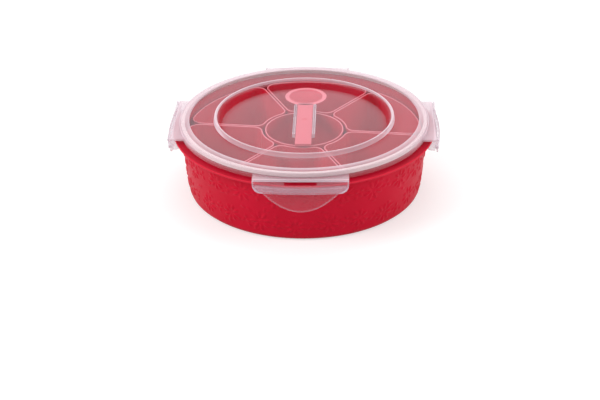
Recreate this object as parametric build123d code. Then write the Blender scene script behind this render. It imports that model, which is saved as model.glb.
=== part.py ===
from build123d import *
import os
from math import cos, radians, sin, sqrt

os.makedirs("parts", exist_ok=True)

# Sizes in mm, Z up, base on Z = 0, front toward -Y, axis of the box on Z.

# Bowl
WALL_TOP_R = 113.0
WALL_T = 3.0
WALL_FLARE = 6.0
FOOT_R = WALL_TOP_R - WALL_FLARE
FOOT_ROUND = 5.0
FLOOR_T = 2.2
FLOOR_ROUND = 3.5
MOUTH_R = WALL_TOP_R - WALL_T
FLANGE_W = 6.5
FLANGE_R = WALL_TOP_R + FLANGE_W
FLANGE_T = 2.0
FLANGE_TOP_Z = 59.8
NECK_IN = 1.0
NECK_H = 4.4
NECK_ROUND = 0.4
NECK_R = WALL_TOP_R - NECK_IN
NECK_TOP_Z = FLANGE_TOP_Z + NECK_H
TONGUE_H = 2.5
TONGUE_TOP_Z = NECK_TOP_Z + TONGUE_H
TONGUE_T = 1.3
EDGE_ROUND = 0.7

# Lid rim and seal channel
SEAL_IN_T = 1.2
SEAL_TOP_T = 1.9
SKIRT_GAP = 0.5
SKIRT_T = 1.3
SKIRT_LIFT = 1.4
RIM_W = 9.0
RIM_STEP_T = 1.5
RIM_TOP_T = 1.4
PLUG_T = 1.2
PLUG_DROP = 0.2
CHANNEL_IN_R = MOUTH_R - SEAL_IN_T
CHANNEL_ROOF_Z = TONGUE_TOP_Z + SEAL_TOP_T
SKIRT_IN_R = NECK_R + SKIRT_GAP
SKIRT_LOW_Z = FLANGE_TOP_Z + SKIRT_LIFT
RIM_R = SKIRT_IN_R + SKIRT_T
RIM_INNER_R = RIM_R - RIM_W
RIM_STEP_R = RIM_INNER_R + RIM_STEP_T
RIM_TOP_Z = CHANNEL_ROOF_Z + RIM_TOP_T
RIM_ROUND = 2.4
PLUG_R = CHANNEL_IN_R - PLUG_T
PLUG_LOW_Z = NECK_TOP_Z - PLUG_DROP
PANEL_DROP = 2.2
PANEL_TOP_Z = RIM_TOP_Z - PANEL_DROP
PANEL_T = 1.5

# Ring bead and recess of the lid
RECESS_TOP_R = 79.4
RECESS_SLOPE_W = 3.9
RECESS_DROP = 4.8
RECESS_T = 1.5
RECESS_FLOOR_R = RECESS_TOP_R - RECESS_SLOPE_W
RECESS_FLOOR_Z = PANEL_TOP_Z - RECESS_DROP
BEAD_H = 4.1
BEAD_CREST_W = 2.0
BEAD_IN_SLOPE_W = 0.5
BEAD_IN_SLOPE_H = 1.7
BEAD_OUT_SLOPE_W = 0.7
BEAD_UNDER_W = 1.0
BEAD_CREST_IN_R = RECESS_TOP_R + BEAD_IN_SLOPE_W
BEAD_CREST_OUT_R = BEAD_CREST_IN_R + BEAD_CREST_W
BEAD_OUT_R = BEAD_CREST_OUT_R + BEAD_OUT_SLOPE_W
BEAD_UNDER_R = BEAD_OUT_R + BEAD_UNDER_W
BEAD_TOP_Z = PANEL_TOP_Z + BEAD_H
BEAD_ROUND = 0.9
RECESS_TOP_Z = BEAD_TOP_Z - BEAD_IN_SLOPE_H

# Seal ring
SEAL_PLAY = 0.05
SEAL_LEG_GAP = 0.6
SEAL_LEG_Z = NECK_TOP_Z + SEAL_LEG_GAP

# Flap ledges, hinges and flaps, given along the outward direction of the right flap
FLAP_W = 82.0
LEDGE_BACK = 0.8
LEDGE_RISE = 1.2
LEDGE_END_U = FLANGE_R - LEDGE_BACK
LEDGE_TOP_Z = NECK_TOP_Z + LEDGE_RISE
LEDGE_T = 1.8
HINGE_GAP = 1.2
FILM_T = 0.5
PLATE_T = 1.5
BAR_CLEARANCE = 1.0
BAR_INNER_U = FLANGE_R + BAR_CLEARANCE
BAR_T = 2.4
BAR_PROUD = 0.8
BAR_H = 6.2
BAR_ROUND = 8.0
PLATE_FOOT_U = BAR_INNER_U + BAR_T
PLATE_FOOT_Z = FLANGE_TOP_Z
BAR_BOTTOM_Z = PLATE_FOOT_Z - BAR_H
PLAN_R = 260.0
HOOK_BITE = 2.9
HOOK_R = FLANGE_R - HOOK_BITE
HOOK_W = 78.0
HOOK_ROUND = 4.0
HOOK_CLEARANCE = 0.5
HOOK_TOP_Z = FLANGE_TOP_Z - FLANGE_T - HOOK_CLEARANCE
TONGUE_W = 65.0
TONGUE_DROP = 17.0
TAB_T = 1.4
SLOT_W = 27.0
SLOT_H = 2.8
SLOT_DROP = 0.8
SLOT_TOP_Z = LEDGE_TOP_Z - SLOT_DROP
SLOT_BOTTOM_Z = SLOT_TOP_Z - SLOT_H

# Spoon and its rails
SPOON_CLEARANCE = 0.4
HANDLE_W = 14.8
HANDLE_END_Y = -41.0
HANDLE_TOP_Z = RECESS_FLOOR_Z - RECESS_T - SPOON_CLEARANCE
HANDLE_T = 2.2
HANDLE_ROUND = 1.2
SPOON_R = 19.8
SPOON_Y = 61.8
SPOON_DEPTH = 3.7
SPOON_T = 1.3
SPOON_LAP = 2.6
GATE_Y = 10.4
GATE_R = 1.8
GATE_DEPTH = 0.4
RAIL_T = 2.5
RAIL_GRIP = 1.5
RAIL_LIP_T = 1.0
RAIL_LIP_CLEARANCE = 0.5
RAIL_NOSE = 2.0
RAIL_IN_X = HANDLE_W / 2 + SPOON_CLEARANCE
RAIL_OUT_X = RAIL_IN_X + RAIL_T
RAIL_LIP_X = HANDLE_W / 2 - RAIL_GRIP
RAIL_BOTTOM_Z = HANDLE_TOP_Z - HANDLE_T - RAIL_LIP_CLEARANCE - RAIL_LIP_T
RAIL_NEAR_Y = -22.5
RAIL_LAP = 0.5
RAIL_FAR_Y = SPOON_Y - SPOON_R + RAIL_LAP

# Cups
CUP_CLEARANCE = 0.9
CUP_TOP_Z = RAIL_BOTTOM_Z - CUP_CLEARANCE
CUP_PLAY = 0.05
CUP_WALL_T = 1.2
CUP_FLOOR_T = 1.4
CUP_ROUND = 3.0
CENTRE_R = 36.0
CENTRE_DRAFT = 2.4
CENTRE_FOOT_R = CENTRE_R - CENTRE_DRAFT
WEDGE_COUNT = 6
WEDGE_IN_GAP = 2.4
WEDGE_OUT_GAP = 2.6
WEDGE_IN_DRAFT = 1.2
WEDGE_FOOT_GAP = 2.4
WEDGE_SIDE_GAP = 0.8
WEDGE_SIDE_DRAFT = 1.1
WEDGE_IN_R = CENTRE_R + WEDGE_IN_GAP
WEDGE_OUT_R = MOUTH_R - WEDGE_OUT_GAP
WEDGE_IN_FOOT_R = WEDGE_IN_R + WEDGE_IN_DRAFT
WEDGE_OUT_FOOT_R = FOOT_R - WALL_T - WEDGE_FOOT_GAP
WEDGE_SIDE_FOOT_GAP = WEDGE_SIDE_GAP + WEDGE_SIDE_DRAFT
WEDGE_OUT_ROUND = 11.0
WEDGE_IN_ROUND = 9.0
CUPS_TURN = -6.2

FLAPS = {"right": 0.0, "rear": 90.0, "left": 180.0, "front": 270.0}
MARGIN = 5.0

BOWL_COLOUR = Color(0.78, 0.10, 0.18)
CLEAR_COLOUR = Color(0.93, 0.86, 0.90, 0.45)
SEAL_COLOUR = Color(0.95, 0.94, 0.93)
CUP_COLOUR = Color(0.80, 0.13, 0.20)
SPOON_COLOUR = Color(0.86, 0.25, 0.32)


def section(points, rounds=()):
    """Closed outline in the XZ plane with the named corners rounded."""
    face = make_face(Polyline(*points, close=True))
    for corner, radius in rounds:
        nearest = face.vertices().sort_by_distance(Vector(*corner))[0]
        face = fillet(nearest, radius)
    return Plane.XZ * face


def turned(points, rounds=()):
    """Solid of revolution about Z."""
    return revolve(section(points, rounds), axis=Axis.Z)


def slab(size_x, size_y, low_z, high_z, x=0.0, y=0.0):
    """Upright box centred on x, y between two heights."""
    return Pos(x, y, (low_z + high_z) / 2) * Box(size_x, size_y, high_z - low_z)


def wall_radius(z):
    """Outer radius of the tapered side wall at height z."""
    return FOOT_R + (WALL_TOP_R - FOOT_R) * z / (FLANGE_TOP_Z - FLANGE_T)


def bowl():
    """Bowl with side wall, lock flange, neck and sealing tongue."""
    flange_low = FLANGE_TOP_Z - FLANGE_T
    inner_foot = wall_radius(FLOOR_T) - WALL_T
    points = [
        (0, 0),
        (FOOT_R, 0),
        (WALL_TOP_R, flange_low),
        (FLANGE_R, flange_low),
        (FLANGE_R, FLANGE_TOP_Z),
        (NECK_R, FLANGE_TOP_Z),
        (NECK_R, NECK_TOP_Z),
        (MOUTH_R + TONGUE_T, NECK_TOP_Z),
        (MOUTH_R + TONGUE_T, TONGUE_TOP_Z),
        (MOUTH_R, TONGUE_TOP_Z),
        (MOUTH_R, flange_low),
        (inner_foot, FLOOR_T),
        (0, FLOOR_T),
    ]
    rounds = [
        ((FOOT_R, 0), FOOT_ROUND),
        ((FLANGE_R, flange_low), EDGE_ROUND),
        ((FLANGE_R, FLANGE_TOP_Z), EDGE_ROUND),
        ((NECK_R, NECK_TOP_Z), NECK_ROUND),
        ((inner_foot, FLOOR_T), FLOOR_ROUND),
    ]
    return turned(points, rounds)


def lid_shell():
    """Round part of the lid: rim with its skirt, seal channel and plug, ring panel, bead and recess."""
    panel_low = PANEL_TOP_Z - PANEL_T
    recess_low = RECESS_FLOOR_Z - RECESS_T
    points = [
        (0, RECESS_FLOOR_Z),
        (RECESS_FLOOR_R, RECESS_FLOOR_Z),
        (RECESS_TOP_R, RECESS_TOP_Z),
        (BEAD_CREST_IN_R, BEAD_TOP_Z),
        (BEAD_CREST_OUT_R, BEAD_TOP_Z),
        (BEAD_OUT_R, PANEL_TOP_Z),
        (RIM_INNER_R, PANEL_TOP_Z),
        (RIM_INNER_R, RIM_TOP_Z),
        (RIM_R, RIM_TOP_Z),
        (RIM_R, SKIRT_LOW_Z),
        (SKIRT_IN_R, SKIRT_LOW_Z),
        (SKIRT_IN_R, CHANNEL_ROOF_Z),
        (CHANNEL_IN_R, CHANNEL_ROOF_Z),
        (CHANNEL_IN_R, PLUG_LOW_Z),
        (PLUG_R, PLUG_LOW_Z),
        (PLUG_R, CHANNEL_ROOF_Z),
        (RIM_STEP_R, CHANNEL_ROOF_Z),
        (RIM_STEP_R, panel_low),
        (BEAD_UNDER_R, panel_low),
        (RECESS_TOP_R + RECESS_T, panel_low),
        (RECESS_FLOOR_R + RECESS_T, recess_low),
        (0, recess_low),
    ]
    rounds = [
        ((RIM_R, RIM_TOP_Z), RIM_ROUND),
        ((RIM_INNER_R, RIM_TOP_Z), EDGE_ROUND),
        ((BEAD_CREST_IN_R, BEAD_TOP_Z), BEAD_ROUND),
        ((BEAD_CREST_OUT_R, BEAD_TOP_Z), BEAD_ROUND),
    ]
    return turned(points, rounds)


def ledge():
    """Straight ledge on the rim that carries one flap, on the right side."""
    start_u = SKIRT_IN_R / 2
    middle = (start_u + LEDGE_END_U) / 2
    plate = slab(LEDGE_END_U - start_u, FLAP_W, LEDGE_TOP_Z - LEDGE_T, LEDGE_TOP_Z, x=middle)
    inside = Pos(0, 0, LEDGE_TOP_Z) * Cylinder(SKIRT_IN_R, 2 * (LEDGE_T + MARGIN))
    return plate - inside


def rail(side):
    """L-section rail under the recess; side is 1 or -1 along X."""
    top = RECESS_FLOOR_Z - RECESS_T
    length = RAIL_FAR_Y - RAIL_NEAR_Y
    middle = (RAIL_FAR_Y + RAIL_NEAR_Y) / 2
    wall_x = side * (RAIL_IN_X + RAIL_OUT_X) / 2
    lip_x = side * (RAIL_LIP_X + RAIL_OUT_X) / 2
    wall = slab(RAIL_OUT_X - RAIL_IN_X, length, RAIL_BOTTOM_Z, top, x=wall_x, y=middle)
    lip = slab(RAIL_OUT_X - RAIL_LIP_X, length, RAIL_BOTTOM_Z, RAIL_BOTTOM_Z + RAIL_LIP_T, x=lip_x, y=middle)
    body = wall + lip
    nose = body.edges().filter_by(Axis.Z).sort_by(Axis.Y)[0:2]
    outer = nose.sort_by(Axis.X)[-1 if side > 0 else 0]
    return chamfer(outer, RAIL_NOSE)


def lid():
    """Lid with its four ledges and two rails, one moulding."""
    ledges = [Rot(0, 0, turn) * ledge() for turn in FLAPS.values()]
    return lid_shell() + ledges + [rail(1), rail(-1)]


def seal_ring():
    """Silicone ring of inverted U section, seated in the lid's rim channel."""
    out_r = SKIRT_IN_R - SEAL_PLAY
    in_r = CHANNEL_IN_R + SEAL_PLAY
    slot_out = MOUTH_R + TONGUE_T + SEAL_PLAY
    slot_in = MOUTH_R - SEAL_PLAY
    roof = CHANNEL_ROOF_Z - SEAL_PLAY
    slot_top = TONGUE_TOP_Z + SEAL_PLAY
    points = [
        (in_r, SEAL_LEG_Z),
        (slot_in, SEAL_LEG_Z),
        (slot_in, slot_top),
        (slot_out, slot_top),
        (slot_out, SEAL_LEG_Z),
        (out_r, SEAL_LEG_Z),
        (out_r, roof),
        (in_r, roof),
    ]
    return turned(points)


def plan_band(outer_u, thickness, width):
    """Band bent to the flap's plan arc: outer face at outer_u on the middle line."""
    centre = Pos(outer_u - PLAN_R, 0)
    ring = centre * (Circle(PLAN_R) - Circle(PLAN_R - thickness))
    window = Pos(outer_u, 0) * Rectangle(PLAN_R / 2, width)
    return ring & window


def flap_outline():
    """Front view of plate and bar with round lower corners, as a block to trim with."""
    block = slab(PLAN_R, FLAP_W, BAR_BOTTOM_Z, LEDGE_TOP_Z, x=PLATE_FOOT_U)
    lower = block.faces().sort_by(Axis.Z)[0].edges().filter_by(Axis.X)
    return fillet(lower, BAR_ROUND)


def flap_plate():
    """Sloped plate from the straight hinge edge down to the curved catch bar."""
    inner_u = LEDGE_END_U + HINGE_GAP
    top = Pos(inner_u + PLATE_T / 2, 0) * Rectangle(PLATE_T, FLAP_W)
    foot = plan_band(PLATE_FOOT_U, PLATE_T, FLAP_W)
    return loft([Pos(0, 0, PLATE_FOOT_Z) * foot, Pos(0, 0, LEDGE_TOP_Z) * top], ruled=True)


def flap_bar():
    """Thick catch bar across the flap."""
    outer_u = PLATE_FOOT_U + BAR_PROUD
    band = extrude(plan_band(outer_u, outer_u - BAR_INNER_U, FLAP_W), PLATE_FOOT_Z - BAR_BOTTOM_Z)
    return Pos(0, 0, BAR_BOTTOM_Z) * band


def flap_hook():
    """Hook that reaches in under the bowl's lock flange, with its tips rounded in plan."""
    reach = Pos(BAR_INNER_U + PLATE_T / 2 - PLAN_R, 0) * Circle(PLAN_R)
    window = Pos(BAR_INNER_U, 0) * Rectangle(PLAN_R / 2, HOOK_W)
    face = (reach - Circle(HOOK_R)) & window
    face = fillet(face.vertices().sort_by(Axis.X)[:2], HOOK_ROUND)
    blade = extrude(face, HOOK_TOP_Z - BAR_BOTTOM_Z)
    return Pos(0, 0, BAR_BOTTOM_Z) * blade


def flap_tab():
    """Thin finger tongue under the bar, a parabola in front view."""
    band = extrude(plan_band(PLATE_FOOT_U, TAB_T, FLAP_W), BAR_BOTTOM_Z)
    start, end = (-TONGUE_W / 2, BAR_BOTTOM_Z), (TONGUE_W / 2, BAR_BOTTOM_Z)
    curve = Bezier(start, (0, BAR_BOTTOM_Z - 2 * TONGUE_DROP), end)
    front = make_face([curve, Line(end, start)])
    return band & extrude(Plane.YZ * front, PLATE_FOOT_U + MARGIN)


def flap(turn):
    """One locking flap, built on the right side and turned about Z."""
    body = (flap_plate() + flap_bar()) & flap_outline()
    body = body + flap_hook() + flap_tab()
    reach = 2 * (PLATE_FOOT_U - LEDGE_END_U + MARGIN)
    slot = slab(reach, SLOT_W, SLOT_BOTTOM_Z, SLOT_TOP_Z, x=LEDGE_END_U)
    return Rot(0, 0, turn) * (body - slot)


def hinge_film(turn):
    """Thin web that joins a ledge to its flap."""
    middle = LEDGE_END_U + HINGE_GAP / 2
    film = slab(HINGE_GAP, FLAP_W, LEDGE_TOP_Z - FILM_T, LEDGE_TOP_Z, x=middle)
    return Rot(0, 0, turn) * film


def centre_cup():
    """Round cup in the middle."""
    foot_z = FLOOR_T + CUP_PLAY
    slope = (CENTRE_R - CENTRE_FOOT_R) / (CUP_TOP_Z - foot_z)
    floor_r = CENTRE_FOOT_R + slope * CUP_FLOOR_T - CUP_WALL_T
    floor_z = foot_z + CUP_FLOOR_T
    points = [
        (0, foot_z),
        (CENTRE_FOOT_R, foot_z),
        (CENTRE_R, CUP_TOP_Z),
        (CENTRE_R - CUP_WALL_T, CUP_TOP_Z),
        (floor_r, floor_z),
        (0, floor_z),
    ]
    rounds = [((CENTRE_FOOT_R, foot_z), CUP_ROUND), ((floor_r, floor_z), CUP_ROUND - CUP_WALL_T)]
    return turned(points, rounds)


def wedge_outline(in_r, out_r, gap, in_round, out_round):
    """Plan outline of a wedge cup centred on +X, with rounded corners."""
    half = radians(180.0 / WEDGE_COUNT)

    def corner(radius, side):
        along = sqrt(radius**2 - gap**2)
        return (along * cos(half) + gap * sin(half), side * (along * sin(half) - gap * cos(half)))

    inner_low, inner_high = corner(in_r, -1), corner(in_r, 1)
    outer_low, outer_high = corner(out_r, -1), corner(out_r, 1)
    edges = [
        Line(inner_low, outer_low),
        ThreePointArc(outer_low, (out_r, 0), outer_high),
        Line(outer_high, inner_high),
        ThreePointArc(inner_high, (in_r, 0), inner_low),
    ]
    face = make_face(edges)
    ordered = face.vertices().sort_by(Axis.X)
    face = fillet(ordered[-2:], out_round)
    ordered = face.vertices()
    inner = [ordered.sort_by_distance(Vector(*point))[0] for point in (inner_low, inner_high)]
    return fillet(inner, in_round)


def wedge_solid(low_z, high_z, inset, foot_z):
    """Tapered wedge between two heights, moved in from the outside by inset."""

    def outline(z):
        part = (z - foot_z) / (CUP_TOP_Z - foot_z)
        in_r = WEDGE_IN_FOOT_R + (WEDGE_IN_R - WEDGE_IN_FOOT_R) * part
        out_r = WEDGE_OUT_FOOT_R + (WEDGE_OUT_R - WEDGE_OUT_FOOT_R) * part
        gap = WEDGE_SIDE_FOOT_GAP + (WEDGE_SIDE_GAP - WEDGE_SIDE_FOOT_GAP) * part
        return wedge_outline(
            in_r + inset, out_r - inset, gap + inset, WEDGE_IN_ROUND - inset, WEDGE_OUT_ROUND - inset
        )

    return loft([Pos(0, 0, low_z) * outline(low_z), Pos(0, 0, high_z) * outline(high_z)], ruled=True)


def wedge_cup(index):
    """One of the six wedge cups, counted from the cup nearest +X."""
    foot_z = FLOOR_T + CUP_PLAY
    outer = wedge_solid(foot_z, CUP_TOP_Z, 0.0, foot_z)
    outer = fillet(outer.faces().sort_by(Axis.Z)[0].edges(), CUP_ROUND)
    inner = wedge_solid(foot_z + CUP_FLOOR_T, CUP_TOP_Z + CUP_FLOOR_T, CUP_WALL_T, foot_z)
    inner = fillet(inner.faces().sort_by(Axis.Z)[0].edges(), CUP_ROUND - CUP_WALL_T)
    step = 360.0 / WEDGE_COUNT
    return Rot(0, 0, CUPS_TURN + step * (index + 0.5)) * (outer - inner)


def spoon():
    """Spoon with a shallow round bowl and a flat handle, held upright as stored."""
    rim_r = (SPOON_R**2 + SPOON_DEPTH**2) / (2 * SPOON_DEPTH)
    centre_z = HANDLE_TOP_Z - SPOON_DEPTH + rim_r
    disc = Pos(0, 0, HANDLE_TOP_Z - SPOON_DEPTH / 2) * Cylinder(SPOON_R, SPOON_DEPTH)
    ball = Pos(0, 0, centre_z) * Sphere(rim_r)
    hollow = Pos(0, 0, centre_z) * Sphere(rim_r - SPOON_T)
    handle_far = SPOON_Y - SPOON_R + SPOON_LAP
    handle = slab(
        HANDLE_W,
        handle_far - HANDLE_END_Y,
        HANDLE_TOP_Z - HANDLE_T,
        HANDLE_TOP_Z,
        y=(handle_far + HANDLE_END_Y) / 2,
    )
    ends = handle.edges().filter_by(Axis.Z).sort_by(Axis.Y)[0:2]
    handle = fillet(ends, HANDLE_ROUND)
    body = handle + Pos(0, SPOON_Y) * (disc & ball) - Pos(0, SPOON_Y) * hollow
    gate = Pos(0, GATE_Y, HANDLE_TOP_Z - GATE_DEPTH / 2) * Cylinder(GATE_R, GATE_DEPTH)
    return body - gate


def finished(shape, name, colour):
    """One solid with its name and colour."""
    solid = shape.solids()[0]
    solid.label = name
    solid.color = colour
    return solid


def nodes():
    """Every piece of the box by name."""
    pieces = {
        "box_body": (bowl(), BOWL_COLOUR),
        "lid": (lid(), CLEAR_COLOUR),
        "seal_ring": (seal_ring(), SEAL_COLOUR),
        "centre_cup": (centre_cup(), CUP_COLOUR),
        "spoon": (spoon(), SPOON_COLOUR),
    }
    for side, turn in FLAPS.items():
        pieces[side + "_flap"] = (flap(turn), CLEAR_COLOUR)
        pieces[side + "_hinge_film"] = (hinge_film(turn), CLEAR_COLOUR)
    for index in range(WEDGE_COUNT):
        pieces["wedge_cup_" + str(index + 1)] = (wedge_cup(index), CUP_COLOUR)
    return pieces


for name, (shape, colour) in nodes().items():
    export_step(finished(shape, name, colour), "parts/" + name + ".step")
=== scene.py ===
import logging
import math
from dataclasses import dataclass, field
from enum import Enum
from typing import Sequence

import bmesh
import bpy
import numpy as np
from mathutils import Matrix, Vector

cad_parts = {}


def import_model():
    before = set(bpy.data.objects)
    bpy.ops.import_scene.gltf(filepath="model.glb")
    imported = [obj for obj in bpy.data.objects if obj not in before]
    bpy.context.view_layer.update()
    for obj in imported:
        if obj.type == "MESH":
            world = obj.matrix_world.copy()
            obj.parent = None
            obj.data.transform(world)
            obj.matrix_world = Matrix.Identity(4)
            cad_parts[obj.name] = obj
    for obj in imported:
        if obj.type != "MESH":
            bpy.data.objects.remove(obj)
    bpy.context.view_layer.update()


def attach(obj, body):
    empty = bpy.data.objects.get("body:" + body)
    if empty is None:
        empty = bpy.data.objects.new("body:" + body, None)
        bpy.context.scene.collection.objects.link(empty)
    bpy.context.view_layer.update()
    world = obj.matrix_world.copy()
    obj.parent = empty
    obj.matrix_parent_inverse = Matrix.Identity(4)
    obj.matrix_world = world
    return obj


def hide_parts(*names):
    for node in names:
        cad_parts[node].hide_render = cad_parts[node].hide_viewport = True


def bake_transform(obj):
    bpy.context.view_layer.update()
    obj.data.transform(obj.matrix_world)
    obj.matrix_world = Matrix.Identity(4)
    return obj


LOG = logging.getLogger("spice_box")
MM = 0.001
MERGE_M = 1e-7
SLIVER_M = 1e-8
SHARP_DEGREES = 32.0
GRAIN_DEPTH_M = 0.0001
WHITE = (1.0, 1.0, 1.0)
Array = np.ndarray
Share = Array | float
Colour = tuple[float, float, float]
Pair = tuple[float, float]
Material = bpy.types.Material
Piece = bpy.types.Object
Socket = bpy.types.NodeSocket


class Side(Enum):
    """The four sides that carry a flap, with the turn of each from +X in degrees."""

    RIGHT = 0.0
    REAR = 90.0
    LEFT = 180.0
    FRONT = 270.0

    @property
    def word(self) -> str:
        """The side's name in lower case."""
        return self.name.lower()


def linear(red: float, green: float, blue: float) -> Colour:
    """Linear colour: v / 12.92 up to 0.04045, and ((v + 0.055) / 1.055)^2.4 above it.

    Args:
        red, green, blue: display values v, between 0 and 255.

    Returns:
        Values between 0 and 1.
    """
    values = np.array([red, green, blue]) / 255.0
    low = values / 12.92
    high = ((values + 0.055) / 1.055) ** 2.4
    return tuple(float(v) for v in np.where(values <= 0.04045, low, high))


def turns(count: int) -> Array:
    """Even angles round a full turn, in radians."""
    return np.arange(count) * 2 * math.pi / count


def net_of(*coordinates: Share) -> Array:
    """Points from their coordinates, which spread over each other's rows and columns."""
    return np.stack(np.broadcast_arrays(*coordinates), axis=-1)


def arc(centre: Array | Pair, radius: float, start: float, end: float, chords: int) -> Array:
    """Points centre + radius (cos a, sin a) for angles a from start to end, shape (chords + 1, 2)."""
    angles = np.linspace(start, end, chords + 1)
    return centre + radius * net_of(np.cos(angles), np.sin(angles))


@dataclass
class Patch:
    """Faces over one set of points, in millimetres."""

    points: Array
    quads: Array
    haze: Array

    @classmethod
    def grid(
        cls, net: Array, wrap_rows: bool = False, wrap_columns: bool = False, haze: Share = 1.0
    ) -> "Patch":
        """Quads over a net of points.

        Quad (i, j) joins the points (i, j), (i, j+1), (i+1, j+1) and (i+1, j) of the net.

        Args:
            net: points, shape (rows, columns, 3).
            wrap_rows: the last row joins the first one.
            wrap_columns: the last column joins the first one.
            haze: share of the finish's haze for each point, row or column, or one number.

        Returns:
            The patch.
        """
        shape = net.shape[:2]
        index = np.arange(shape[0] * shape[1]).reshape(shape)
        if wrap_columns:
            index = np.concatenate([index, index[:, :1]], axis=1)
        if wrap_rows:
            index = np.concatenate([index, index[:1]], axis=0)
        quads = np.stack([index[:-1, :-1], index[:-1, 1:], index[1:, 1:], index[1:, :-1]], axis=-1)
        return cls(net.reshape(-1, 3), quads.reshape(-1, 4), np.broadcast_to(haze, shape).reshape(-1))

    def turned(self, degrees: float) -> "Patch":
        """Turns the patch about the box's axis: (x cos a - y sin a, x sin a + y cos a, z).

        Args:
            degrees: the angle a.

        Returns:
            The new patch.
        """
        c, s = math.cos(math.radians(degrees)), math.sin(math.radians(degrees))
        turn = np.array([[c, s, 0.0], [-s, c, 0.0], [0.0, 0.0, 1.0]])
        return Patch(self.points @ turn, self.quads, self.haze)


def build(
    name: str,
    patches: Sequence[Patch],
    material: Material | None = None,
    sharp_degrees: float = SHARP_DEGREES,
) -> Piece:
    """One object at the origin from closed patches, with its doubles merged and its faces outward.

    Args:
        name: the piece's name.
        patches: closed surfaces in millimetres.
        material: its finish, if it gets one here.
        sharp_degrees: edges that turn by more than this stay sharp.

    Returns:
        The object, in metres.
    """
    starts = np.cumsum([0] + [len(p.points) for p in patches])
    points = np.concatenate([p.points for p in patches]) * MM
    quads = np.concatenate([p.quads + start for p, start in zip(patches, starts)])
    mesh = bpy.data.meshes.new(name)
    mesh.from_pydata(points, [], quads.tolist())
    haze = mesh.attributes.new("haze", "FLOAT", "POINT")
    haze.data.foreach_set("value", np.concatenate([p.haze for p in patches]).astype(np.float32))
    work = bmesh.new()
    work.from_mesh(mesh)
    bmesh.ops.remove_doubles(work, verts=work.verts, dist=MERGE_M)
    bmesh.ops.dissolve_degenerate(work, edges=work.edges, dist=SLIVER_M)
    bmesh.ops.recalc_face_normals(work, faces=work.faces)
    work.to_mesh(mesh)
    work.free()
    finish_shading(mesh, sharp_degrees)
    if material is not None:
        mesh.materials.append(material)
    piece = bpy.data.objects.new(name, mesh)
    bpy.context.scene.collection.objects.link(piece)
    return piece


def finish_shading(mesh: bpy.types.Mesh, sharp_degrees: float) -> None:
    """Shades the faces smooth and leaves the sharper edges sharp.

    Args:
        mesh: the mesh.
        sharp_degrees: edges that turn by more than this stay sharp.
    """
    mesh.polygons.foreach_set("use_smooth", np.ones(len(mesh.polygons), bool))
    mesh.set_sharp_from_angle(angle=math.radians(sharp_degrees))
    mesh.update()


def rounded(points: Sequence[Pair], rounds: dict[int, float], closed: bool, chords: int = 5) -> Array:
    """Profile with some of its corners rounded by arcs.

    The arc of radius q at corner P, between unit directions a and b that enclose the angle t, starts at
    P + a q / tan(t/2), ends at P + b q / tan(t/2) and has its centre at P + (a + b)/|a + b| q / sin(t/2).

    Args:
        points: the corners.
        rounds: radius by corner number.
        closed: the last corner joins the first one.
        chords: chords per arc.

    Returns:
        Points, shape (n, 2).
    """
    corners = np.array(points, float)
    share = np.linspace(0, 1, chords + 1)[:, None]
    out = []
    for i, corner in enumerate(corners):
        if i not in rounds or (not closed and i in (0, len(corners) - 1)):
            out.append(corner[None])
            continue
        a = corners[i - 1] - corner
        b = corners[(i + 1) % len(corners)] - corner
        a, b = a / np.linalg.norm(a), b / np.linalg.norm(b)
        half = math.acos(float(np.clip(a @ b, -1, 1))) / 2
        centre = corner + (a + b) / np.linalg.norm(a + b) * rounds[i] / math.sin(half)
        first = corner + a * rounds[i] / math.tan(half) - centre
        last = corner + b * rounds[i] / math.tan(half) - centre
        sweep = math.pi - 2 * half
        spread = np.sin((1 - share) * sweep) * first + np.sin(share * sweep) * last
        out.append(centre + spread / math.sin(sweep))
    return np.concatenate(out)


def rounded_box(half: float, low: float, high: float, radius: float, chords: int) -> Array:
    """Closed outline of a rectangle from -half to half and low to high, with round corners."""
    corners = [(-half, low), (half, low), (half, high), (-half, high)]
    return rounded(corners, dict.fromkeys(range(4), radius), closed=True, chords=chords)


def spaced(profile: Array, longest: float) -> Array:
    """Profile with points spaced evenly along its longer chords.

    Args:
        profile: points, shape (n, 2).
        longest: no chord is left longer than this.

    Returns:
        Points, shape (m, 2).
    """
    lengths = np.linalg.norm(np.diff(profile, axis=0), axis=1)
    counts = np.maximum(1, np.ceil(lengths / longest)).astype(int)
    pieces = [np.linspace(a, b, n, endpoint=False) for a, b, n in zip(profile[:-1], profile[1:], counts)]
    return np.concatenate(pieces + [profile[-1:]])


def revolved(
    profile: Array, columns: int, ring: bool = False, haze: Share = 1.0, lift: Share = 0.0
) -> Patch:
    """Surface of revolution: (r, z) at angle t becomes (r cos t, r sin t, z).

    Args:
        profile: radii and heights, shape (n, 2). Without ring it starts and ends on the axis.
        columns: points round the axis.
        ring: the profile is a closed loop.
        haze: share of haze, one number or one for each profile point.
        lift: radial offset for each profile point and column.

    Returns:
        The closed patch.
    """
    angle = turns(columns)
    radius = profile[:, :1] + lift
    net = net_of(radius * np.cos(angle), radius * np.sin(angle), profile[:, 1:])
    shares = np.broadcast_to(haze, len(profile))[:, None]
    return Patch.grid(net, wrap_rows=ring, wrap_columns=True, haze=shares)


def capped(rings: Array, haze: Share = 1.0) -> Patch:
    """Closed surface over a stack of rings, whose two ends are drawn together on their middles.

    Args:
        rings: points, shape (rings, points, 3).
        haze: share of haze, one number or one for each ring.

    Returns:
        The closed patch.
    """
    caps = [np.broadcast_to(rings[k].mean(axis=0), (1, *rings.shape[1:])) for k in (0, -1)]
    shares = np.broadcast_to(haze, len(rings))
    shares = np.concatenate([shares[:1], shares, shares[-1:]])[:, None]
    return Patch.grid(np.concatenate([caps[0], rings, caps[1]]), wrap_columns=True, haze=shares)


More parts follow.
